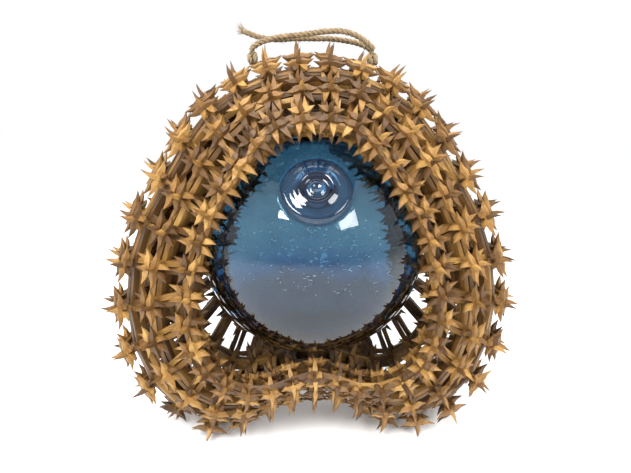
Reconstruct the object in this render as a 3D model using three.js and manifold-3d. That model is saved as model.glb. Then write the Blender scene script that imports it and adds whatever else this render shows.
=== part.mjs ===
// A blown glass fishing float held in a wreath-shaped cage of pointed sticks, with twine on top.
// Millimetres, +Z up, front towards -Y. The origin is on the floor under the middle of the cage.
import * as THREE from 'three';
import { mergeVertices } from 'three/addons/utils/BufferGeometryUtils.js';
import Module from 'manifold-3d';

// Float
const FLOAT_RADIUS = 75;
const FLOAT_HEIGHT = 143; // centre above the floor
const FLOAT_SIDES = 32;
const SEAL_RADIUS = 19.5;
const SEAL_RISE = 1.6;
const SEAL_TILT = THREE.MathUtils.degToRad(142); // turns the pole forwards and up

// Cage
const COLUMNS = 33; // stars in each course
const HALF = 4; // half the width of a pair of sticks
const THORN = 8; // how far a fork of thorns stands out of its course
const VALLEY = 1.5; // depth left between the two thorns of a fork
const GAP = 0.4; // clearance between parts that touch
const COURSE_Y = [-45, -35, -21, 0, 21, 35, 45]; // front rim to back rim
const COURSE_SPREAD = [0, 0.45, 0.85, 1, 0.85, 0.45, 0]; // from the rim outline to the girth outline
const INNER_Y = [-12, 12];
const INNER_SPREAD = 0.3;
const RIM_CROWDING = 0.1; // stars stand closer at the top and the bottom
const GIRTH_CROWDING = 0.3;
const BEARING = [15, 16, 17]; // columns whose inner thorns the float sits on
const BRACE_EVERY = 3;
const FOOT_REACH = 4; // thorns that end this close to the floor reach it
const FOOT_WEAR = 1.2; // worn off them by the floor

// Half outlines, top to bottom, as x and height above the middle of the float
const RIM_OUTLINE = [
  [0, 82], [23, 77], [46, 52], [66, 18], [78, -25], [77, -52], [62, -81], [36, -90], [0, -79],
];
const GIRTH_OUTLINE = [
  [0, 117], [32, 112], [68, 92], [101, 48], [124, 8], [135, -40], [131, -85], [112, -121],
  [82, -138], [54, -132.5], [27, -115], [0, -111],
];

// Twine
const TWINE_RADIUS = 1.75;
const TWINE_STEPS = 14;
const KNOT_SIZE = [5, 4.2, 3.6]; // half sizes
const HANGER_ROUTE = [
  [-37.6, -3.4, 267.1], [-35.2, -3.8, 268.9], [-32, -4, 270.5], [-27.5, -4, 271.9], [-22, -4, 273.2],
  [-16, -4, 274], [-10, -4, 274.6], [-3, -4, 275.4], [4, -4, 276.3], [11, -4, 277],
  [18, -4, 276.9], [24.5, -4, 275.4], [30, -4, 272.8], [34.4, -3.9, 269.8], [37.6, -3.4, 267.1],
];
const TAIL_ROUTE = [
  [37.6, 3.4, 267.1], [35, 3.9, 269.1], [31.5, 4.3, 270.9], [27, 4.4, 272.2], [21.5, 4.4, 273.2],
  [15.5, 4.4, 274], [9, 4.4, 274.4], [2, 4.4, 274.4], [-5, 4.4, 274.4], [-12, 4.4, 274.3],
  [-19, 4.4, 273.9], [-25.5, 4.4, 273.8], [-32, 4.4, 274.7], [-38, 4.4, 276.4], [-43.5, 4.3, 278.5],
];
const KNOTS = { twine_knot_left: [-37.5, -1, 261.8], twine_knot_right: [37.5, 0, 261.8] };

const glassFinish = new THREE.MeshStandardMaterial({ color: 0x4f86a0, roughness: 0.05, metalness: 0 });
const woodFinish = new THREE.MeshStandardMaterial({ color: 0xb98548, roughness: 0.7, metalness: 0 });
const twineFinish = new THREE.MeshStandardMaterial({ color: 0xa08a62, roughness: 0.95, metalness: 0 });

// A closed curve through a half outline and its mirror image, starting at the top.
function outlineCurve(half) {
  const right = half.map(([x, z]) => new THREE.Vector3(x, 0, z));
  const left = half.slice(1, -1).reverse().map(([x, z]) => new THREE.Vector3(-x, 0, z));
  return new THREE.CatmullRomCurve3([...right, ...left], true, 'centripetal');
}

const rimCurve = outlineCurve(RIM_OUTLINE);
const girthCurve = outlineCurve(GIRTH_OUTLINE);

// Column to fraction of the way round, with the stars crowded at the top and the bottom.
function wayRound(column, crowding) {
  const even = (column + 0.5) / COLUMNS;
  const way = even - (crowding / (4 * Math.PI)) * Math.sin(4 * Math.PI * even);
  return ((way % 1) + 1) % 1;
}

function starCentre(column, spread, y) {
  const rim = rimCurve.getPointAt(wayRound(column, RIM_CROWDING));
  const girth = girthCurve.getPointAt(wayRound(column, GIRTH_CROWDING));
  const centre = rim.lerp(girth, spread);
  return new THREE.Vector3(centre.x, y, FLOAT_HEIGHT + centre.z);
}

const outerCentre = (course, column) => starCentre(column, COURSE_SPREAD[course], COURSE_Y[course]);
const innerCentre = (course, column) => starCentre(column, INNER_SPREAD, INNER_Y[course]);

// A star's own directions: u along its course, v towards the next course, n outwards.
function starFrame(centreOf, courses, course, column) {
  const u = centreOf(course, column + 1).sub(centreOf(course, column - 1)).normalize();
  const after = centreOf(Math.min(course + 1, courses - 1), column);
  const before = centreOf(Math.max(course - 1, 0), column);
  const v = after.sub(before);
  v.addScaledVector(u, -v.dot(u)).normalize();
  const n = new THREE.Vector3().crossVectors(u, v);
  return { centre: centreOf(course, column), u, v, n };
}

// The four corners of a course's square section at one end of a star.
function section(frame, side) {
  const corner = (v, n) => frame.centre.clone()
    .addScaledVector(frame.u, side * HALF)
    .addScaledVector(frame.v, v * HALF)
    .addScaledVector(frame.n, n * HALF);
  return [corner(-1, -1), corner(1, -1), corner(1, 1), corner(-1, 1)];
}

function buildStars(centreOf, courses, course) {
  return Array.from({ length: COLUMNS }, (_, column) => {
    const frame = starFrame(centreOf, courses, course, column);
    return { frame, left: section(frame, -1), right: section(frame, 1) };
  });
}

const outerStars = COURSE_Y.map((_, course) => buildStars(outerCentre, COURSE_Y.length, course));
const innerStars = INNER_Y.map((_, course) => buildStars(innerCentre, INNER_Y.length, course));

// Faces of a star as quads that run anticlockwise seen from outside.
const innerFace = (star) => [star.left[0], star.left[1], star.right[1], star.right[0]];
const nextFace = (star) => [star.left[1], star.left[2], star.right[2], star.right[1]];
const outerFace = (star) => [star.left[2], star.left[3], star.right[3], star.right[2]];
const backFace = (star) => [star.left[3], star.left[0], star.right[0], star.right[3]];
const turned = ([a, b, c, d]) => [d, a, b, c];

class Shell {
  constructor() {
    this.positions = [];
  }

  triangle(a, b, c) {
    for (const point of [a, b, c]) this.positions.push(point.x, point.y, point.z);
  }

  quad([a, b, c, d]) {
    this.triangle(a, b, c);
    this.triangle(a, c, d);
  }

  // Two thorns over the edges b-c and d-a of a quad, with a valley between them.
  fork([a, b, c, d], direction, rise) {
    const middle = (p, q) => p.clone().add(q).multiplyScalar(0.5);
    const riseOf = typeof rise === 'function' ? rise : () => rise;
    const tip = (p, q) => {
      const root = middle(p, q);
      return root.addScaledVector(direction, riseOf(root));
    };
    const first = tip(b, c);
    const second = tip(d, a);
    const valley = middle(a, c).addScaledVector(direction, VALLEY);
    this.triangle(a, b, valley);
    this.triangle(b, c, first);
    this.triangle(b, first, valley);
    this.triangle(c, valley, first);
    this.triangle(c, d, valley);
    this.triangle(d, a, second);
    this.triangle(d, second, valley);
    this.triangle(a, valley, second);
  }

  // A bar from a quad to the matching corners of a neighbour's face, just short of it.
  bar(quad, target) {
    const end = quad.map((corner, i) => {
      const back = corner.clone().sub(target[i]).setLength(GAP);
      return target[i].clone().add(back);
    });
    for (let i = 0; i < 4; i += 1) {
      const j = (i + 1) % 4;
      this.quad([quad[i], quad[j], end[j], end[i]]);
    }
    this.quad(end);
  }

  geometry() {
    const geometry = new THREE.BufferGeometry();
    geometry.setAttribute('position', new THREE.Float32BufferAttribute(this.positions, 3));
    return mergeVertices(geometry, 1e-3);
  }
}

// The straight part of a course between one star and the next.
function addLink(shell, star, next) {
  for (let i = 0; i < 4; i += 1) {
    const j = (i + 1) % 4;
    shell.quad([star.right[i], star.right[j], next.left[j], next.left[i]]);
  }
}

const isBraced = (column) => column % BRACE_EVERY === 1;

// Outer thorns near the floor run on to it, so that the cage stands on three courses.
function thornRise(root, direction) {
  const height = root.z + THORN * direction.z;
  if (height <= 0 || height >= FOOT_REACH) return THORN;
  return (root.z + FOOT_WEAR) / -direction.z;
}

function outerCourse(course) {
  const shell = new Shell();
  const last = COURSE_Y.length - 1;
  outerStars[course].forEach((star, column) => {
    const { v, n } = star.frame;
    addLink(shell, star, outerStars[course][(column + 1) % COLUMNS]);
    shell.fork(outerFace(star), n, (root) => thornRise(root, n));
    if (course === 0) shell.fork(turned(backFace(star)), v.clone().negate(), THORN);
    else shell.quad(backFace(star));
    if (course === last) {
      shell.fork(turned(nextFace(star)), v, THORN);
    } else {
      const { left, right } = outerStars[course + 1][column];
      shell.bar(nextFace(star), [left[0], left[3], right[3], right[0]]);
    }
    if (course === 1 && isBraced(column)) {
      const { left, right } = innerStars[0][column];
      shell.bar(innerFace(star), [left[0], left[3], right[3], right[0]]);
    } else if (course === last - 1 && isBraced(column)) {
      const { left, right } = innerStars[1][column];
      shell.bar(innerFace(star), [left[2], left[1], right[1], right[2]]);
    } else {
      shell.quad(innerFace(star));
    }
  });
  return shell.geometry();
}

// How far a thorn runs from its root before it is just short of the glass.
function reachToFloat(root, direction) {
  const radius = FLOAT_RADIUS + GAP;
  const offset = root.clone().sub(new THREE.Vector3(0, 0, FLOAT_HEIGHT));
  const along = offset.dot(direction);
  return -along - Math.sqrt(along * along - offset.lengthSq() + radius * radius);
}

function innerCourse(course) {
  const shell = new Shell();
  innerStars[course].forEach((star, column) => {
    addLink(shell, star, innerStars[course][(column + 1) % COLUMNS]);
    shell.quad(outerFace(star));
    shell.quad(backFace(star));
    if (course === 0) {
      const { left, right } = innerStars[1][column];
      shell.bar(nextFace(star), [left[0], left[3], right[3], right[0]]);
    } else {
      shell.quad(nextFace(star));
    }
    if (BEARING.includes(column)) {
      const inwards = star.frame.n.clone().negate();
      shell.fork(innerFace(star), inwards, (root) => reachToFloat(root, inwards));
    } else {
      shell.quad(innerFace(star));
    }
  });
  return shell.geometry();
}

function floatGeometry() {
  const sealAngle = Math.asin(SEAL_RADIUS / FLOAT_RADIUS);
  const profile = [new THREE.Vector2(0, -FLOAT_RADIUS)];
  const rings = 14;
  for (let i = 1; i <= rings; i += 1) {
    const angle = -Math.PI / 2 + (i / rings) * (Math.PI - sealAngle);
    profile.push(new THREE.Vector2(FLOAT_RADIUS * Math.cos(angle), FLOAT_RADIUS * Math.sin(angle)));
  }
  const crown = FLOAT_RADIUS + SEAL_RISE;
  profile.push(new THREE.Vector2(SEAL_RADIUS * 0.93, FLOAT_RADIUS * Math.cos(sealAngle) + SEAL_RISE));
  profile.push(new THREE.Vector2(SEAL_RADIUS * 0.5, crown - 1.2));
  profile.push(new THREE.Vector2(0, crown - 0.6));
  return new THREE.LatheGeometry(profile, FLOAT_SIDES);
}

function twineGeometry(route) {
  const curve = new THREE.CatmullRomCurve3(route.map((point) => new THREE.Vector3(...point)));
  const circle = new THREE.Shape();
  for (let i = 0; i < 8; i += 1) {
    const angle = (i / 8) * 2 * Math.PI;
    const x = TWINE_RADIUS * Math.cos(angle);
    const y = TWINE_RADIUS * Math.sin(angle);
    if (i === 0) circle.moveTo(x, y);
    else circle.lineTo(x, y);
  }
  return new THREE.ExtrudeGeometry(circle, { steps: TWINE_STEPS, extrudePath: curve });
}

function knotGeometry() {
  return new THREE.SphereGeometry(1, 10, 6).scale(...KNOT_SIZE);
}

const wasm = await Module();
wasm.setup();

function toSolid(source) {
  const geometry = source.clone();
  geometry.deleteAttribute('normal');
  geometry.deleteAttribute('uv');
  const merged = mergeVertices(geometry, 1e-3);
  return new wasm.Manifold(new wasm.Mesh({
    numProp: 3,
    vertProperties: new Float32Array(merged.attributes.position.array),
    triVerts: new Uint32Array(merged.index.array),
  }));
}

function toGeometry(solid) {
  const mesh = solid.getMesh();
  const geometry = new THREE.BufferGeometry();
  geometry.setAttribute('position', new THREE.Float32BufferAttribute(mesh.vertProperties, 3));
  geometry.setIndex(new THREE.Uint32BufferAttribute(mesh.triVerts, 1));
  return geometry;
}

// The thorns that the cage stands on are worn flat at the floor.
function standOnFloor(geometry) {
  const size = 400;
  const ground = new THREE.BoxGeometry(size, size, size).translate(0, 0, -size / 2);
  return toGeometry(toSolid(geometry).subtract(toSolid(ground)));
}

const group = new THREE.Group();

function addMesh(name, geometry, finish) {
  const mesh = new THREE.Mesh(geometry, finish.clone());
  mesh.name = name;
  group.add(mesh);
  return mesh;
}

const float = addMesh('glass_float', floatGeometry(), glassFinish);
float.position.z = FLOAT_HEIGHT;
float.rotation.x = SEAL_TILT;

const COURSE_NAMES = [
  'course_1_front_rim', 'course_2_front', 'course_3_front', 'course_4_girth',
  'course_5_back', 'course_6_back', 'course_7_back_rim',
];
COURSE_NAMES.forEach((name, course) => addMesh(name, standOnFloor(outerCourse(course)), woodFinish));
addMesh('inner_course_front', innerCourse(0), woodFinish);
addMesh('inner_course_back', innerCourse(1), woodFinish);

addMesh('twine_hanger', twineGeometry(HANGER_ROUTE), twineFinish);
addMesh('twine_tail', twineGeometry(TAIL_ROUTE), twineFinish);
for (const [name, place] of Object.entries(KNOTS)) {
  addMesh(name, knotGeometry(), twineFinish).position.set(...place);
}

export default group;
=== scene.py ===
# A blown glass fishing float in a cage of pointed sticks, with twine on top.
# Metres, +Z up, front towards -Y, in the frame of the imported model.
import math
import random

import bpy
from mathutils import Matrix, Vector, noise


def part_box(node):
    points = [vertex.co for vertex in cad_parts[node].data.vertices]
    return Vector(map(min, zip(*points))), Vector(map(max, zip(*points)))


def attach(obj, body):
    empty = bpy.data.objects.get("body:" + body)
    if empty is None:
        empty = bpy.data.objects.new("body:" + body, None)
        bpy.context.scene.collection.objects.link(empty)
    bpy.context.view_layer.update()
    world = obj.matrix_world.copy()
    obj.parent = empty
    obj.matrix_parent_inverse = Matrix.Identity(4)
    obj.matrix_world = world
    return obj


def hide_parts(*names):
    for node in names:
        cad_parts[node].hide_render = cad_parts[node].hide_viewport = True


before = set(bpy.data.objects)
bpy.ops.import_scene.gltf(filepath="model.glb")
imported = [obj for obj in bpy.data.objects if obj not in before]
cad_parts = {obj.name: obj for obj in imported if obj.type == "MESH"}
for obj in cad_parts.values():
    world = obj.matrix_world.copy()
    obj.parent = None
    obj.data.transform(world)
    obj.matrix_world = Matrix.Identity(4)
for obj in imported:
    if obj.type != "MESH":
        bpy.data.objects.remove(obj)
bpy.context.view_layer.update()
scene = bpy.context.scene
MM = 0.001

# ---------------------------------------------------------------- driving sizes, in millimetres

FLOAT_RADIUS = 75.0
FLOAT_HEIGHT = 143  # centre above the floor
WALL = 4.0
SEAL_RADIUS = 19.5
SEEDS = 170  # small air bubbles in the glass
SEAL_ELEVATION = 38.0  # degrees above the horizon, facing the front

COLUMNS = 33  # stars in each course
COURSE_Y = (-45, -35, -21, 0, 21, 35, 45)
COURSE_SPREAD = (0, 0.45, 0.85, 1, 0.85, 0.45, 0)
INNER_Y = (-12, 12)
INNER_SPREAD = 0.3
RIM_CROWDING = 0.1
GIRTH_CROWDING = 0.3
RIM_OUTLINE = (
    (0, 82), (23, 77), (46, 52), (66, 18), (78, -25), (77, -52), (62, -81), (36, -90), (0, -79),
)
GIRTH_OUTLINE = (
    (0, 117), (32, 112), (68, 92), (101, 48), (124, 8), (135, -40), (131, -85), (112, -121),
    (82, -138), (54, -132.5), (27, -115), (0, -111),
)
COURSES = (
    "course_1_front_rim", "course_2_front", "course_3_front", "course_4_girth",
    "course_5_back", "course_6_back", "course_7_back_rim",
)
INNER_COURSES = ("inner_course_front", "inner_course_back")

STICK = 3.9  # width of a square stick
TIP_REACH = 13.2  # from the middle of a star to the points of its thorns
TIP_SPLAY = 1.9  # the points of a pair lean apart
TIP_LIFT = 1.6  # and outwards
BRACE_EVERY = 3  # columns between braces to the inner courses
SPACING = 24.5  # between stars where they aren't crowded
BROKEN = (2, 21)  # course and column of the star that has lost its thorns

TWINE = 3.5
HANGER_ROUTE = (
    (-37.6, -3.4, 267.1), (-35.2, -3.8, 268.9), (-32, -4, 270.5), (-27.5, -4, 271.9),
    (-22, -4, 273.2), (-16, -4, 274), (-10, -4, 274.6), (-3, -4, 275.4), (4, -4, 276.3),
    (11, -4, 277), (18, -4, 276.9), (24.5, -4, 275.4), (30, -4, 272.8), (34.4, -3.9, 269.8),
    (37.6, -3.4, 267.1),
)
TAIL_ROUTE = (
    (37.6, 3.4, 267.1), (35, 3.9, 269.1), (31.5, 4.3, 270.9), (27, 4.4, 272.2),
    (21.5, 4.4, 273.2), (15.5, 4.4, 274), (9, 4.4, 274.4), (2, 4.4, 274.4), (-5, 4.4, 274.4),
    (-12, 4.4, 274.3), (-19, 4.4, 273.9), (-25.5, 4.4, 273.8), (-32, 4.4, 274.7),
    (-38, 4.4, 276.4), (-43.5, 4.3, 278.5),
)

WORLD_LIGHT = 1.0  # strength of the white studio as light
FLOAT_CENTRE = Vector((0, 0, FLOAT_HEIGHT * MM))


# ---------------------------------------------------------------- camera

def make_camera():
    distance = 0.290
    azimuth = math.radians(-2)
    elevation = math.radians(15)
    data = bpy.data.cameras.new("camera")
    data.sensor_width = 36
    data.lens = 23.6
    data.shift_x = 0.004
    data.shift_y = 0.009
    data.clip_start = 0.01
    camera = bpy.data.objects.new("camera", data)
    back = Vector((
        math.sin(azimuth) * math.cos(elevation),
        -math.cos(azimuth) * math.cos(elevation),
        math.sin(elevation),
    ))
    camera.location = FLOAT_CENTRE + back * distance
    camera.rotation_euler = (-back).to_track_quat("-Z", "Y").to_euler()
    scene.collection.objects.link(camera)
    scene.camera = camera


make_camera()


# ---------------------------------------------------------------- nodes and colours

def linear(hex_colour):
    channels = [int(hex_colour[i:i + 2], 16) / 255 for i in (1, 3, 5)]
    curve = [c / 12.92 if c <= 0.04045 else ((c + 0.055) / 1.055) ** 2.4 for c in channels]
    return (*curve, 1.0)


def add(tree, kind, settings=None, inputs=None):
    """Adds a node. Inputs are by name or index; a socket as the value is linked."""
    node = tree.nodes.new(kind)
    for name, value in (settings or {}).items():
        setattr(node, name, value)
    for key, value in (inputs or {}).items():
        socket = node.inputs[key]
        if isinstance(value, bpy.types.NodeSocket):
            tree.links.new(value, socket)
        else:
            socket.default_value = value
    return node


def new_material(name):
    material = bpy.data.materials.new(name)
    material.use_nodes = True
    tree = material.node_tree
    shader = tree.nodes["Principled BSDF"]
    return material, tree, shader


def ramp(tree, factor, stops):
    node = add(tree, "ShaderNodeValToRGB", inputs={"Fac": factor})
    elements = node.color_ramp.elements
    while len(elements) < len(stops):
        elements.new(0.5)
    for element, (place, colour) in zip(elements, stops):
        element.position = place
        element.color = linear(colour)
    return node.outputs["Color"]


def split_wood():
    """Split hardwood stick, knife-cut and oiled: pale facets, brown fibres along the stick."""
    material, tree, shader = new_material("oiled_split_hardwood")
    tint = add(tree, "ShaderNodeAttribute", {"attribute_name": "tint"}).outputs["Fac"]
    grain = add(tree, "ShaderNodeAttribute", {"attribute_name": "grain"}).outputs["Vector"]
    offset = add(tree, "ShaderNodeCombineXYZ", inputs={"X": tint, "Y": tint, "Z": tint})
    shifted = add(tree, "ShaderNodeVectorMath", {"operation": "MULTIPLY_ADD"},
                  {0: offset.outputs[0], 1: (7.0, 5.0, 9.0), 2: grain})
    # Fibres about 0.35 mm across and ten times as long.
    stretched = add(tree, "ShaderNodeMapping", {"vector_type": "POINT"},
                    {"Vector": shifted.outputs[0], "Scale": (220, 2600, 2600)})
    fibres = add(tree, "ShaderNodeTexNoise", {"noise_dimensions": "3D"},
                 {"Vector": stretched.outputs[0], "Scale": 1.0, "Detail": 4.0, "Roughness": 0.6})
    patches = add(tree, "ShaderNodeTexNoise", inputs={
        "Vector": shifted.outputs[0], "Scale": 160.0, "Detail": 2.0})
    mixed = add(tree, "ShaderNodeMath", {"operation": "MULTIPLY_ADD"},
                {0: fibres.outputs["Fac"], 1: 0.55, 2: -0.28})
    level = add(tree, "ShaderNodeMath", {"operation": "MULTIPLY_ADD"},
                {0: tint, 1: 0.62, 2: mixed.outputs[0]})
    level = add(tree, "ShaderNodeMath", {"operation": "MULTIPLY_ADD"},
                {0: patches.outputs["Fac"], 1: 0.4, 2: level.outputs[0]})
    body = ramp(tree, level.outputs[0], (
        (0.0, "#301c09"), (0.35, "#563a18"), (0.62, "#7e5a2a"), (1.0, "#b68f50")))
    # Points are darker, where end grain takes up more oil.
    along = add(tree, "ShaderNodeSeparateXYZ", inputs={"Vector": grain})
    reach = add(tree, "ShaderNodeMath", {"operation": "ABSOLUTE"}, {0: along.outputs["X"]})
    end = add(tree, "ShaderNodeMapRange", inputs={
        "Value": reach.outputs[0], "From Min": 8.5 * MM, "From Max": TIP_REACH * MM,
        "To Min": 0.0, "To Max": 0.55})
    dark = add(tree, "ShaderNodeMix", {"data_type": "RGBA", "blend_type": "MIX"},
               {"Factor": end.outputs[0], 6: body, 7: linear("#4a2f16")})
    tree.links.new(dark.outputs[2], shader.inputs["Base Color"])
    rough = add(tree, "ShaderNodeMapRange", inputs={
        "Value": fibres.outputs["Fac"], "To Min": 0.42, "To Max": 0.68})
    tree.links.new(rough.outputs[0], shader.inputs["Roughness"])
    bump = add(tree, "ShaderNodeBump", inputs={
        "Strength": 0.35, "Distance": 0.0002, "Height": fibres.outputs["Fac"]})
    tree.links.new(bump.outputs[0], shader.inputs["Normal"])
    shader.inputs["Specular IOR Level"].default_value = 0.4
    return material


def blown_glass():
    """Recycled blue bottle glass, free blown: see-through, tinted, faintly wavy and streaked, with
    painted shade on its lower half.
    """
    material, tree, shader = new_material("blown_blue_glass")
    place = add(tree, "ShaderNodeTexCoord").outputs["Object"]
    # The depth attribute holds the thicker glass of the seal and painted shade that deepens the
    # colour towards the bottom.
    depth = add(tree, "ShaderNodeAttribute", {"attribute_name": "depth"}).outputs["Fac"]
    clouds = add(tree, "ShaderNodeTexNoise", inputs={
        "Vector": place, "Scale": 22.0, "Detail": 5.0, "Roughness": 0.6, "Distortion": 1.2})
    edge = add(tree, "ShaderNodeLayerWeight", inputs={"Blend": 0.35}).outputs["Facing"]
    level = add(tree, "ShaderNodeMath", {"operation": "MULTIPLY_ADD"},
                {0: clouds.outputs["Fac"], 1: 0.5, 2: depth})
    level = add(tree, "ShaderNodeMath", {"operation": "MULTIPLY_ADD"},
                {0: edge, 1: 0.35, 2: level.outputs[0]})
    colour = ramp(tree, level.outputs[0], (
        (0.1, "#8babb6"), (0.4, "#6690a6"), (0.75, "#2d608a"), (1.0, "#0d2849")))
    tree.links.new(colour, shader.inputs["Base Color"])
    specks = add(tree, "ShaderNodeTexNoise", inputs={
        "Vector": place, "Scale": 70.0, "Detail": 3.0})
    bump = add(tree, "ShaderNodeBump", inputs={
        "Strength": 0.02, "Distance": 0.0006, "Height": specks.outputs["Fac"]})
    tree.links.new(bump.outputs[0], shader.inputs["Normal"])
    shader.inputs["Transmission Weight"].default_value = 1.0
    shader.inputs["IOR"].default_value = 1.48
    shader.inputs["Roughness"].default_value = 0.0
    return material


def seeds_with_painted_glint():
    """Air seeds caught near the surface, as opaque near-white specks: the seeds are real, their
    bright colour is a painted glint.
    """
    material, _, shader = new_material("air_seeds_with_painted_glint")
    # Painted glint: the near-white colour stands in for light caught by each seed.
    shader.inputs["Base Color"].default_value = linear("#e9f2f4")
    shader.inputs["Roughness"].default_value = 0.12
    shader.inputs["IOR"].default_value = 1.3
    return material


def jute():
    """Three-ply jute twine, spun and undyed: dull straw fibres lying along each ply."""
    material, tree, shader = new_material("undyed_jute_twine")
    place = add(tree, "ShaderNodeTexCoord").outputs["Object"]
    ply = add(tree, "ShaderNodeAttribute", {"attribute_name": "ply"}).outputs["Vector"]
    # Fibres about 0.15 mm across, drawn at 0.3 mm so that they show.
    stretched = add(tree, "ShaderNodeMapping", inputs={"Vector": ply, "Scale": (260, 3200, 3200)})
    fibres = add(tree, "ShaderNodeTexNoise", inputs={
        "Vector": stretched.outputs[0], "Scale": 1.0, "Detail": 3.0})
    patches = add(tree, "ShaderNodeTexNoise", inputs={"Vector": place, "Scale": 240.0})
    level = add(tree, "ShaderNodeMath", {"operation": "MULTIPLY_ADD"},
                {0: patches.outputs["Fac"], 1: 0.35, 2: fibres.outputs["Fac"]})
    colour = ramp(tree, level.outputs[0], (
        (0.35, "#3a2b19"), (0.6, "#69543a"), (0.95, "#a08b66")))
    tree.links.new(colour, shader.inputs["Base Color"])
    bump = add(tree, "ShaderNodeBump", inputs={
        "Strength": 0.6, "Distance": 0.0003, "Height": fibres.outputs["Fac"]})
    tree.links.new(bump.outputs[0], shader.inputs["Normal"])
    shader.inputs["Roughness"].default_value = 0.9
    shader.inputs["Sheen Weight"].default_value = 0.25
    return material


# ---------------------------------------------------------------- meshes

def new_object(name, vertices, faces, material=None):
    mesh = bpy.data.meshes.new(name)
    mesh.from_pydata([tuple(v) for v in vertices], [], faces)
    mesh.update()
    if material:
        mesh.materials.append(material)
    thing = bpy.data.objects.new(name, mesh)
    scene.collection.objects.link(thing)
    return thing


def shade_smooth(thing):
    for polygon in thing.data.polygons:
        polygon.use_smooth = True


def mesh_attribute(mesh, name, kind, values):
    attribute = mesh.attributes.new(name, kind, "POINT")
    field = "vector" if kind == "FLOAT_VECTOR" else "value"
    attribute.data.foreach_set(field, values)


# ---------------------------------------------------------------- the lattice of stars

def spline_span(before, start, stop, after, steps):
    """Points of a centripetal Catmull-Rom span, from start up to but not including stop."""
    gap_0, gap_1, gap_2 = (
        max((b - a).length, 1e-9) ** 0.5
        for a, b in ((before, start), (start, stop), (stop, after))
    )
    leave = (start - before) / gap_0 - (stop - before) / (gap_0 + gap_1) + (stop - start) / gap_1
    arrive = (stop - start) / gap_1 - (after - start) / (gap_1 + gap_2) + (after - stop) / gap_2
    leave, arrive = leave * gap_1, arrive * gap_1
    points = []
    for step in range(steps):
        t = step / steps
        points.append(
            start * (2 * t ** 3 - 3 * t ** 2 + 1) + leave * (t ** 3 - 2 * t ** 2 + t)
            + stop * (3 * t ** 2 - 2 * t ** 3) + arrive * (t ** 3 - t ** 2)
        )
    return points


def closed_outline(half):
    """A fine polyline round a half outline and its mirror image, starting at the top."""
    right = [Vector((x, 0, z)) for x, z in half]
    left = [Vector((-x, 0, z)) for x, z in reversed(half[1:-1])]
    knots = right + left
    count = len(knots)
    line = []
    for i in range(count):
        around = [knots[(i + j) % count] for j in (-1, 0, 1, 2)]
        line += spline_span(*around, steps=40)
    return line + [line[0]]


def open_route(points, steps):
    """A fine polyline through a cord's route, in metres."""
    knots = [Vector(p) * MM for p in points]
    knots = [knots[0] * 2 - knots[1]] + knots + [knots[-1] * 2 - knots[-2]]
    line = []
    for i in range(1, len(knots) - 2):
        line += spline_span(*knots[i - 1:i + 3], steps=steps)
    return line + [knots[-2]]


def along_line(line, fraction):
    """The point at a fraction of a polyline's length."""
    lengths = [(b - a).length for a, b in zip(line, line[1:])]
    left = fraction * sum(lengths)
    for a, b, length in zip(line, line[1:], lengths):
        if left <= length:
            return a.lerp(b, left / length)
        left -= length
    return line[-1].copy()


RIM_LINE = closed_outline(RIM_OUTLINE)
GIRTH_LINE = closed_outline(GIRTH_OUTLINE)


def way_round(column, crowding):
    even = (column + 0.5) / COLUMNS
    return (even - crowding / (4 * math.pi) * math.sin(4 * math.pi * even)) % 1.0


def star_centre(column, spread, y):
    rim = along_line(RIM_LINE, way_round(column, RIM_CROWDING))
    girth = along_line(GIRTH_LINE, way_round(column, GIRTH_CROWDING))
    flat = rim.lerp(girth, spread)
    return Vector((flat.x, y, flat.z)) * MM + FLOAT_CENTRE


def star_frames(spreads, seal_thickness_and_painted_shade):
    """For each course and column: centre, u along the course, v to the next course, n outwards."""
    centres = [[star_centre(column, spread, y) for column in range(COLUMNS)]
               for spread, y in zip(spreads, seal_thickness_and_painted_shade)]
    last = len(seal_thickness_and_painted_shade) - 1
    frames = []
    for course, row in enumerate(centres):
        stars = []
        for column, centre in enumerate(row):
            u = (row[(column + 1) % COLUMNS] - row[column - 1]).normalized()
            v = centres[min(course + 1, last)][column] - centres[max(course - 1, 0)][column]
            v = (v - u * v.dot(u)).normalized()
            stars.append((centre, u, v, u.cross(v)))
        frames.append(stars)
    return frames


outer_stars = star_frames(COURSE_SPREAD, COURSE_Y)
inner_stars = star_frames([INNER_SPREAD] * 2, INNER_Y)


# ---------------------------------------------------------------- sticks

def stick_mesh(name, sections, tips):
    """A square stick along X. Sections are (x, half width, half depth, sideways shift)."""
    vertices = []
    for x, width, depth, shift in sections:
        vertices += [(x, shift + y * width, z * depth)
                     for y, z in ((-1, -1), (1, -1), (1, 1), (-1, 1))]
    faces = []
    for ring in range(len(sections) - 1):
        for i in range(4):
            a, b = ring * 4 + i, ring * 4 + (i + 1) % 4
            faces.append((a, b, b + 4, a + 4))
    last = (len(sections) - 1) * 4
    start, stop = tips
    if start:
        vertices.append(start)
        faces += [(len(vertices) - 1, (i + 1) % 4, i) for i in range(4)]
    else:
        faces.append((3, 2, 1, 0))
    if stop:
        vertices.append(stop)
        faces += [(len(vertices) - 1, last + i, last + (i + 1) % 4) for i in range(4)]
    else:
        faces.append((last, last + 1, last + 2, last + 3))
    thing = new_object(name, [Vector(v) * MM for v in vertices], faces)
    grain = [channel for v in vertices for channel in (v[0] * MM, v[1] * MM, v[2] * MM)]
    mesh_attribute(thing.data, "grain", "FLOAT_VECTOR", grain)
    return thing


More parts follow.
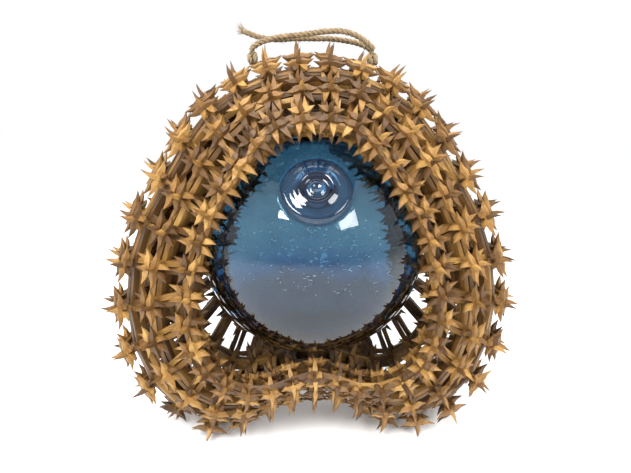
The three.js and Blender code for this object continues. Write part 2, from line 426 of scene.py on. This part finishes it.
def thorn_stick():
    """Short stick of a star: notched at the middle, swelling a little and cut to long points."""
    half = STICK / 2
    return stick_mesh("thorn_stick", (
        (-8.0, half * 0.66, half * 0.55, 1.0), (-4.6, half * 1.02, half * 0.92, 0.3),
        (-2.2, half * 0.84, half * 0.9, 0), (2.2, half * 0.84, half * 0.9, 0),
        (4.6, half * 1.02, half * 0.92, 0.3), (8.0, half * 0.66, half * 0.55, 1.0),
    ), ((-TIP_REACH, TIP_SPLAY, TIP_LIFT), (TIP_REACH, TIP_SPLAY, TIP_LIFT)))


def bar_stick():
    """Stick between two stars, one unit long between its shoulders, with short blunt points."""
    half = STICK / 2 * 0.92
    return stick_mesh("bar_stick", (
        (-5, half, half, 0), (5, half, half, 0),
    ), ((-6.4, half * 0.4, 0), (6.4, half * 0.4, 0)))


THORN, BAR = range(2)
STICK_INPUTS = ("Thorn stick", "Bar stick")
chance = random.Random(7)


class Bundle:
    """Sticks to be laid in one course, as points with a turn, a stretch, a kind and a tint."""

    def __init__(self):
        self.places, self.turns, self.stretches, self.kinds, self.tints = [], [], [], [], []

    def lay(self, kind, place, along, out, stretch=(1, 1, 1), sway=2.5):
        """Lays a stick with its X along a direction and its Z outwards, a little out of true."""
        x = along.normalized()
        z = (out - x * out.dot(x)).normalized()
        turn = Matrix((x, z.cross(x), z)).transposed()
        lean = [math.radians(chance.gauss(0, sway)) for _ in range(3)]
        wobble = (Matrix.Rotation(lean[0] * 1.6, 3, "X") @ Matrix.Rotation(lean[1], 3, "Y")
                  @ Matrix.Rotation(lean[2], 3, "Z"))
        euler = (turn @ wobble).to_euler()
        self.places.append(place + x * chance.gauss(0, 0.25) * MM)
        self.turns += list(euler)
        self.stretches += [s * chance.uniform(0.94, 1.06) for s in stretch]
        self.kinds.append(kind)
        self.tints.append(chance.random())

    def span(self, start, stop, out, sway=0.6):
        """A bar from one star's middle to the next one's."""
        run = stop - start
        self.lay(BAR, (start + stop) / 2, run, out, (run.length / (10 * MM), 1, 1), sway)


def stick_tree():
    """Sets the two kinds of stick on the points of a bundle, as one mesh of one material."""
    tree = bpy.data.node_groups.new("lay_sticks", "GeometryNodeTree")
    tree.interface.new_socket("Geometry", in_out="INPUT", socket_type="NodeSocketGeometry")
    for name in STICK_INPUTS:
        tree.interface.new_socket(name, in_out="INPUT", socket_type="NodeSocketObject")
    tree.interface.new_socket("Wood", in_out="INPUT", socket_type="NodeSocketMaterial")
    tree.interface.new_socket("Geometry", in_out="OUTPUT", socket_type="NodeSocketGeometry")
    given = add(tree, "NodeGroupInput")
    kind = add(tree, "GeometryNodeInputNamedAttribute", {"data_type": "INT"}, {"Name": "kind"})
    turn = add(tree, "GeometryNodeInputNamedAttribute", {"data_type": "FLOAT_VECTOR"},
               {"Name": "turn"})
    stretch = add(tree, "GeometryNodeInputNamedAttribute", {"data_type": "FLOAT_VECTOR"},
                  {"Name": "stretch"})
    rotation = add(tree, "FunctionNodeEulerToRotation", inputs={0: turn.outputs["Attribute"]})
    join = add(tree, "GeometryNodeJoinGeometry")
    for number, name in enumerate(STICK_INPUTS):
        stick = add(tree, "GeometryNodeObjectInfo", inputs={"Object": given.outputs[name]})
        chosen = add(tree, "FunctionNodeCompare", {"data_type": "INT", "operation": "EQUAL"},
                     {2: kind.outputs["Attribute"], 3: number})
        laid = add(tree, "GeometryNodeInstanceOnPoints", inputs={
            "Points": given.outputs["Geometry"], "Selection": chosen.outputs[0],
            "Instance": stick.outputs["Geometry"], "Rotation": rotation.outputs[0],
            "Scale": stretch.outputs["Attribute"]})
        tree.links.new(laid.outputs[0], join.inputs[0])
    real = add(tree, "GeometryNodeRealizeInstances", inputs={0: join.outputs[0]})
    dressed = add(tree, "GeometryNodeSetMaterial", inputs={
        "Geometry": real.outputs[0], "Material": given.outputs["Wood"]})
    add(tree, "NodeGroupOutput", inputs={0: dressed.outputs[0]})
    return tree


def set_input(modifier, name, value):
    for item in modifier.node_group.interface.items_tree:
        if item.in_out == "INPUT" and item.name == name:
            modifier[item.identifier] = value


def settle(thing):
    """Turns an object's evaluated shape into its plain mesh and drops its modifiers."""
    graph = bpy.context.evaluated_depsgraph_get()
    mesh = bpy.data.meshes.new_from_object(thing.evaluated_get(graph), depsgraph=graph)
    thing.modifiers.clear()
    thing.data = mesh
    for name in ("turn", "stretch", "kind"):
        if name in mesh.attributes:
            mesh.attributes.remove(mesh.attributes[name])


def build_course(name, bundle, tree, sticks, wood):
    thing = new_object(name, bundle.places, [])
    mesh_attribute(thing.data, "turn", "FLOAT_VECTOR", bundle.turns)
    mesh_attribute(thing.data, "stretch", "FLOAT_VECTOR", bundle.stretches)
    mesh_attribute(thing.data, "kind", "INT", bundle.kinds)
    mesh_attribute(thing.data, "tint", "FLOAT", bundle.tints)
    modifier = thing.modifiers.new("sticks", "NODES")
    modifier.node_group = tree
    for label, stick in zip(STICK_INPUTS, sticks):
        set_input(modifier, label, stick)
    set_input(modifier, "Wood", wood)
    settle(thing)
    for vertex in thing.data.vertices:  # thorns are worn flat where the cage stands on them
        vertex.co.z = max(vertex.co.z, 0)
    return thing


def lay_star(bundle, star, crowd, broken=False):
    """Three pairs of thorn sticks through each other: along, across and out of the course."""
    centre, u, v, n = star
    twist = Matrix.Rotation(math.radians(chance.gauss(0, 4)), 3, n)
    u, v = twist @ u, twist @ v
    centre = centre + n * chance.gauss(0, 0.5) * MM
    side = STICK * 0.6 * MM
    level = STICK * 0.42 * MM
    shorten = (min(1.0, crowd / SPACING), 1, 1)
    raised = centre + n * 1.6 * MM
    if broken:
        away = (v * 0.8 + u * 0.6).normalized()
        bundle.lay(THORN, centre + away * 8 * MM, away, n, (1.15, 0.9, 0.9))
        return
    for sign in (1, -1):
        bundle.lay(THORN, raised + v * side * sign + n * level, u * sign, n, shorten)
        bundle.lay(THORN, raised + u * side * sign - n * level * 0.4, v * -sign, n)
        bundle.lay(THORN, centre + v * side * sign * 0.92, n * -sign, u, (1, 0.86, 0.86))


def lay_inner_star(bundle, star):
    """The same joint on the inner side of the wall, with shorter thorns."""
    centre, u, v, n = star
    side = STICK * 0.6 * MM
    low = centre - n * 10.5 * MM
    for sign in (1, -1):
        bundle.lay(THORN, low + v * side * sign, u * sign, -n, (0.62, 0.9, 0.9))
        bundle.lay(THORN, low + u * side * sign, v * sign, -n, (0.62, 0.9, 0.9))


def bar_depth(course):
    """How far under its stars a course's bars lie. A rim's bars lie in the stars themselves."""
    return (1.6 if course in (0, len(COURSES) - 1) else 5.0) * MM


def lay_outer_course(course):
    bundle = Bundle()
    row = outer_stars[course]
    side = STICK * 0.62 * MM
    deep = bar_depth(course)
    is_rim = course in (0, len(COURSES) - 1)
    for column, star in enumerate(row):
        centre, u, v, n = star
        after, _, after_v, after_n = row[(column + 1) % COLUMNS]
        lay_star(bundle, star, (after - centre).length / MM, (course, column) == BROKEN)
        lay_inner_star(bundle, star)
        for sign in (1, -1):
            for layer in (0,) if is_rim else (0, STICK * MM):
                bundle.span(centre + v * side * sign - n * (deep + layer),
                            after + after_v * side * sign - after_n * (deep + layer), n)
        if course + 1 < len(COURSE_Y):
            below, below_u, _, below_n = outer_stars[course + 1][column]
            below_deep = bar_depth(course + 1)
            for sign in (1, -1):
                for layer in (0, STICK * MM):
                    bundle.span(centre + u * side * sign - n * (deep + layer),
                                below + below_u * side * sign - below_n * (below_deep + layer),
                                n)
        brace = {1: 0, 5: 1}.get(course)
        if brace is not None and column % BRACE_EVERY == 1:
            inner, _, _, inner_n = inner_stars[brace][column]
            bundle.span(centre - n * 6 * MM, inner + inner_n * 2 * MM, u)
    return bundle


def lay_inner_course(course):
    bundle = Bundle()
    row = inner_stars[course]
    side = STICK * 0.54 * MM
    layers = (-STICK / 2 * MM, STICK / 2 * MM)
    for column, (centre, u, v, n) in enumerate(row):
        after, _, after_v, after_n = row[(column + 1) % COLUMNS]
        for sign in (1, -1):
            for layer in layers:
                bundle.span(centre + v * side * sign + n * layer,
                            after + after_v * side * sign + after_n * layer, n)
            bundle.lay(THORN, centre + v * side * sign, n * -sign, v)
            bundle.lay(THORN, centre + u * side * sign - n * side, v * -sign, n)
        if course == 0:
            across, across_u, _, across_n = inner_stars[1][column]
            for sign in (1, -1):
                for layer in layers:
                    bundle.span(centre + u * side * sign + n * layer,
                                across + across_u * side * sign + across_n * layer, n)
    return bundle


def make_cage():
    """Lays every course of sticks, each course as one piece."""
    wood = split_wood()
    tree = stick_tree()
    sticks = [thorn_stick(), bar_stick()]
    jobs = [(name, lay_outer_course(i)) for i, name in enumerate(COURSES)]
    jobs += [(name, lay_inner_course(i)) for i, name in enumerate(INNER_COURSES)]
    for name, bundle in jobs:
        course = build_course("sticks_of_" + name, bundle, tree, sticks, wood)
        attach(course, "root")
        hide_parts(name)
    for stick in sticks:
        bpy.data.objects.remove(stick)


make_cage()


# ---------------------------------------------------------------- the float

def turned_to_seal(point):
    """From a lathe about +Z to the float, whose pole faces the front and up."""
    lean = Matrix.Rotation(math.radians(90 - SEAL_ELEVATION), 3, "X")
    return lean @ Vector(point)


def lathe(profile, sides):
    """Vertices and faces turned about +Z from (radius, height) points that start and end at 0."""
    vertices = [Vector((0, 0, profile[0][1]))]
    for radius, height in profile[1:-1]:
        vertices += [
            Vector((radius * math.cos(a), radius * math.sin(a), height))
            for a in (2 * math.pi * i / sides for i in range(sides))
        ]
    vertices.append(Vector((0, 0, profile[-1][1])))
    faces = [(0, 1 + (i + 1) % sides, 1 + i) for i in range(sides)]
    rings = len(profile) - 2
    for ring in range(rings - 1):
        for i in range(sides):
            a, b = 1 + ring * sides + i, 1 + ring * sides + (i + 1) % sides
            faces.append((a, b, b + sides, a + sides))
    top, last = len(vertices) - 1, 1 + (rings - 1) * sides
    faces += [(top, last + i, last + (i + 1) % sides) for i in range(sides)]
    return vertices, faces


# Relief of the seal: (distance from its middle, height over the ball), in millimetres.
SEAL_RELIEF = (
    (19.5, 0.0), (19.2, 0.9), (18.4, 1.5), (17.2, 1.4), (16.2, 0.9), (14.8, 1.2), (13.4, 0.8),
    (11.6, 1.0), (10.2, 1.35), (9.0, 1.5), (8.0, 0.7), (7.0, -0.5), (5.6, -0.9), (4.4, -0.4),
    (3.4, 0.1), (2.2, -0.2), (1.2, -0.6),
)


INNER_RELIEF = ((16.0, 0.0), (12.0, -1.2), (8.0, -2.6), (4.0, -3.4))  # under the seal
FLOAT_SIDES = 96
FLOAT_RINGS = 64
OUTER_WAVE, INNER_WAVE = 0.18, 0.9  # height of the waves left by blowing
LOWER_PAINTED_SHADE = 1.3  # painted shade: how much darker the colour gets towards the bottom


def float_profile(radius, relief):
    """A ball from its far pole up to the seal, then the seal's own relief."""
    edge = math.asin(relief[0][0] / radius)
    profile = []
    for i in range(FLOAT_RINGS):
        angle = -math.pi / 2 + (i / FLOAT_RINGS) * (math.pi - edge)
        profile.append((radius * math.cos(angle), radius * math.sin(angle)))
    profile += [(r, math.sqrt(radius ** 2 - r ** 2) + rise) for r, rise in relief]
    return profile + [(0, profile[-1][1] - 0.1)]


def seal_depth(point):
    """How much thicker the glass is, from 0 on the ball to 1 in the ring of the seal."""
    distance = math.hypot(point.x, point.y)
    if point.z < 0 or distance > SEAL_RADIUS + 1.5:
        return 0.0
    edge = min(1.0, max(0.0, (SEAL_RADIUS + 1.5 - distance) / 2.5))
    ring = math.exp(-((distance - 7.6) / 2.0) ** 2)
    rim = 0.35 * math.exp(-((distance - 18.0) / 1.0) ** 2)
    return edge * 0.34 + ring * 0.9 + rim * edge


def make_float():
    """The float as a hollow shell: its outer face with the seal, and its inner face."""
    outer, outer_faces = lathe(float_profile(FLOAT_RADIUS, SEAL_RELIEF), FLOAT_SIDES)
    inner, inner_faces = lathe(float_profile(FLOAT_RADIUS - WALL, INNER_RELIEF), FLOAT_SIDES)
    # Per point: thicker glass in the seal, plus painted shade that grows towards the bottom of the
    # ball.
    seal_thickness_and_painted_shade = [
        seal_depth(point) + LOWER_PAINTED_SHADE * max(0.0, -turned_to_seal(point).z / FLOAT_RADIUS) ** 1.3
        for point in outer + inner
    ]
    vertices = []
    for i, point in enumerate(outer + inner):
        height = OUTER_WAVE if i < len(outer) else INNER_WAVE
        wave = noise.noise(point / 26) * height + noise.noise(point / 9) * height * 0.25
        moved = point + point.normalized() * (wave - height * 0.4)
        vertices.append(turned_to_seal(moved) * MM + FLOAT_CENTRE)
    count = len(outer)
    faces = outer_faces + [tuple(count + i for i in reversed(face)) for face in inner_faces]
    glass = new_object("blown_glass_float", vertices, faces, blown_glass())
    mesh_attribute(glass.data, "depth", "FLOAT", seal_thickness_and_painted_shade)
    shade_smooth(glass)
    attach(glass, "root")
    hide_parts("glass_float")


def make_seeds():
    """Air seeds in the wall of the float, drawn out sideways and lying in loose rows."""
    vertices, faces = [], []
    for _ in range(SEEDS):
        row = chance.choice((-4, 3, 9, 14, 19))
        elevation = math.radians(row + chance.gauss(0, 2.2))
        azimuth = math.radians(chance.gauss(0, 17))
        out = Vector((math.sin(azimuth) * math.cos(elevation),
                      -math.cos(azimuth) * math.cos(elevation), math.sin(elevation)))
        across = Vector((0, 0, 1)).cross(out).normalized()
        up = out.cross(across)
        lean = chance.gauss(0, 0.35)
        long_way = across * math.cos(lean) + up * math.sin(lean)
        short_way = out.cross(long_way)
        middle = FLOAT_CENTRE + out * (FLOAT_RADIUS - 1.1) * MM
        length, thick = chance.uniform(0.3, 1.3) * MM, chance.uniform(0.12, 0.28) * MM
        base = len(vertices)
        vertices += [middle + long_way * length, middle - long_way * length]
        vertices += [middle + (short_way * math.cos(a) + out * math.sin(a)) * thick
                     for a in (math.pi * i / 3 for i in range(6))]
        for i in range(6):
            a, b = base + 2 + i, base + 2 + (i + 1) % 6
            faces += [(base, a, b), (base + 1, b, a)]
    seeds = new_object("air_seeds", vertices, faces, seeds_with_painted_glint())
    shade_smooth(seeds)
    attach(seeds, "root")


make_float()
make_seeds()


# ---------------------------------------------------------------- twine

def tube(points, radius, sides):
    """Vertices and faces of a tube along points, and how far along each point is.

    The radius is a number or a function of the way along, from 0 to 1.
    """
    count = len(points)
    vertices, faces, along = [], [], [0.0]
    side = None
    for i, point in enumerate(points):
        after = points[min(i + 1, count - 1)]
        before = points[max(i - 1, 0)]
        forward = (after - before).normalized()
        if side is None:
            side = forward.orthogonal().normalized()
        side = (side - forward * side.dot(forward)).normalized()
        across = forward.cross(side)
        if i:
            along.append(along[-1] + (point - points[i - 1]).length)
        size = radius(i / max(count - 1, 1)) if callable(radius) else radius
        for j in range(sides):
            angle = 2 * math.pi * j / sides
            vertices.append(point + (side * math.cos(angle) + across * math.sin(angle)) * size)
    for i in range(count - 1):
        for j in range(sides):
            a, b = i * sides + j, i * sides + (j + 1) % sides
            faces.append((a, b, b + sides, a + sides))
    faces.append(tuple(reversed(range(sides))))
    faces.append(tuple((count - 1) * sides + j for j in range(sides)))
    return vertices, faces, along


def helix(line, offset, pitch, phase):
    """A ply's own middle, wound round the middle of the cord."""
    points, side, run = [], None, 0.0
    for i, point in enumerate(line):
        forward = (line[min(i + 1, len(line) - 1)] - line[max(i - 1, 0)]).normalized()
        side = forward.orthogonal().normalized() if side is None else side
        side = (side - forward * side.dot(forward)).normalized()
        if i:
            run += (point - line[i - 1]).length
        angle = phase + 2 * math.pi * run / pitch
        points.append(point + (side * math.cos(angle)
                               + forward.cross(side) * math.sin(angle)) * offset)
    return points


def twisted_cord(name, line, material, diameter=TWINE * MM):
    """Three plies twisted together along a line, as one mesh."""
    vertices, faces, ply_places = [], [], []
    for ply in range(3):
        middle = helix(line, diameter * 0.235, diameter * 2.6, ply * 2 * math.pi / 3)
        points, quads, along = tube(middle, diameter * 0.262, 8)
        base = len(vertices)
        vertices += points
        faces += [tuple(base + i for i in quad) for quad in quads]
        for i in range(len(points)):
            angle = 2 * math.pi * (i % 8) / 8
            ply_places += [along[i // 8], math.cos(angle) * 0.0009 + ply,
                           math.sin(angle) * 0.0009]
    cord = new_object(name, vertices, faces, material)
    mesh_attribute(cord.data, "ply", "FLOAT_VECTOR", ply_places)
    shade_smooth(cord)
    return cord


def fibre(points, thickness):
    return tube(points, lambda t: thickness * (1 - 0.7 * t), 3)[:2]


def fuzz(name, line, material, count, length, spread=1.0):
    """Loose fibres that stand out of a cord."""
    vertices, faces = [], []
    for _ in range(count):
        at = chance.randrange(2, len(line) - 2)
        forward = (line[at + 1] - line[at - 1]).normalized()
        out = Vector([chance.gauss(0, 1) for _ in range(3)])
        out = (out - forward * out.dot(forward)).normalized()
        start = line[at] + out * TWINE * 0.42 * MM
        reach = length * chance.uniform(0.4, 1.0)
        lean = forward * chance.choice((-1, 1)) * chance.uniform(0.4, 1.6)
        points = [start + (lean * t + out * spread * t * (1 - 0.35 * t)) * reach
                  for t in (0, 0.35, 0.7, 1.0)]
        new_vertices, new_faces = fibre(points, 0.00009)
        base = len(vertices)
        vertices += new_vertices
        faces += [tuple(base + i for i in face) for face in new_faces]
    thing = new_object(name, vertices, faces, material)
    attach(thing, "root")
    return thing


def frayed_end(line, material):
    """The free end: the plies unravel into a brush of fibres."""
    vertices, faces = [], []
    end, forward = line[-1], (line[-1] - line[-4]).normalized()
    side = forward.orthogonal().normalized()
    across = forward.cross(side)
    for _ in range(70):
        angle = chance.uniform(0, 2 * math.pi)
        outward = side * math.cos(angle) + across * math.sin(angle)
        reach = chance.uniform(3.5, 7.0) * MM
        flare = chance.uniform(0.1, 0.65)
        start = end - forward * 2.5 * MM + outward * chance.uniform(0.2, 1.5) * MM
        points = [start + (forward * t + outward * flare * t * t) * reach
                  for t in (0, 0.4, 0.75, 1.0)]
        new_vertices, new_faces = fibre(points, 0.00014)
        base = len(vertices)
        vertices += new_vertices
        faces += [tuple(base + i for i in face) for face in new_faces]
    thing = new_object("frayed_twine_end", vertices, faces, material)
    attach(thing, "root")
    return thing


def knot(name, node, lead, material):
    """A knot drawn down on the girth: two turns, one across, and the lead up to its strand."""
    low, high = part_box(node)
    middle = (Vector(low) + Vector(high)) / 2
    parts = []
    turns = (
        (Vector((1, 0, 0.25)), 2.5, -0.0016), (Vector((1, 0, 0.1)), 2.6, 0.0016),
        (Vector((0.35, 1, 0.2)), 2.3, 0.0),
    )
    for axis, radius, shift in turns:
        axis.normalize()
        side = axis.orthogonal().normalized()
        across = axis.cross(side)
        ring = [middle + axis * shift + (side * math.cos(a) * 1.1 + across * math.sin(a) * 0.75)
                * radius * MM for a in (2 * math.pi * i / 40 for i in range(41))]
        parts.append(twisted_cord(name, ring, material, TWINE * 0.8 * MM))
    way = [middle.lerp(lead, t / 12) for t in range(13)]
    parts.append(twisted_cord(name, way, material, TWINE * 0.95 * MM))
    piece = join_parts(name, parts)
    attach(piece, "root")
    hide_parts(node)
    return piece


def join_parts(name, parts):
    """Joins objects into the first one's mesh, keeping their attributes."""
    with bpy.context.temp_override(
            active_object=parts[0], object=parts[0], selected_objects=parts,
            selected_editable_objects=parts):
        bpy.ops.object.join()
    parts[0].name = name
    return parts[0]


def make_twine():
    """Both strands with their fuzz and knots, and the frayed end of the tail."""
    twine = jute()
    hanger_line = open_route(HANGER_ROUTE, 8)
    tail_line = open_route(TAIL_ROUTE, 8)
    knots = {
        side: knot("knot_" + side, "twine_knot_" + side, lead, twine)
        for side, lead in (("left", hanger_line[0]), ("right", tail_line[0]))
    }
    hanger = twisted_cord("hanger_strand", hanger_line, twine)
    tail = twisted_cord("tail_strand", tail_line, twine)
    hairs = fuzz("hanger_fuzz", hanger_line, twine, 90, 2.2 * MM)
    tail_hairs = fuzz("tail_fuzz", tail_line, twine, 90, 2.2 * MM)
    brush = frayed_end(tail_line, twine)
    for strand, node in ((hanger, "twine_hanger"), (tail, "twine_tail")):
        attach(strand, "root")
        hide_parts(node)


make_twine()


# ---------------------------------------------------------------- floor and light

def make_floor():
    """A plain white floor, wide enough to run out of sight."""
    material, _, shader = new_material("plain_pale_floor")
    shader.inputs["Base Color"].default_value = linear("#ffffff")
    shader.inputs["Roughness"].default_value = 0.9
    size = 60.0
    floor = new_object("floor", [(-size, -size, 0), (size, -size, 0), (size, size, 0),
                                 (-size, size, 0)], [(0, 1, 2, 3)], material)


def soft_light(name, place, target, size, power):
    data = bpy.data.lights.new(name, "AREA")
    data.shape = "RECTANGLE"
    data.size, data.size_y = size
    data.energy = power
    light = bpy.data.objects.new(name, data)
    light.location = place
    light.rotation_euler = (Vector(target) - Vector(place)).to_track_quat("-Z", "Y").to_euler()
    scene.collection.objects.link(light)


def make_light():
    """A white studio: the backdrop's strength as light, WORLD_LIGHT, is set apart from how bright
    it is seen.
    """
    world = bpy.data.worlds.new("studio")
    world.use_nodes = True
    tree = world.node_tree
    sight = add(tree, "ShaderNodeLightPath").outputs["Is Camera Ray"]
    strength = add(tree, "ShaderNodeMapRange", inputs={
        "Value": sight, "To Min": WORLD_LIGHT, "To Max": 1.0})
    backdrop = tree.nodes["Background"]
    backdrop.inputs["Color"].default_value = (1, 1, 1, 1)
    tree.links.new(strength.outputs[0], backdrop.inputs["Strength"])
    scene.world = world
    scene.view_settings.view_transform = "Standard"
    middle = (0, 0, 0.14)
    soft_light("key", (-0.32, -0.6, 0.85), middle, (0.34, 0.42), 13)
    soft_light("fill", (0.45, -0.62, 0.7), middle, (0.3, 0.38), 6)
    soft_light("top", (0, 0.15, 1.1), middle, (0.7, 0.7), 5)


make_floor()
make_light()
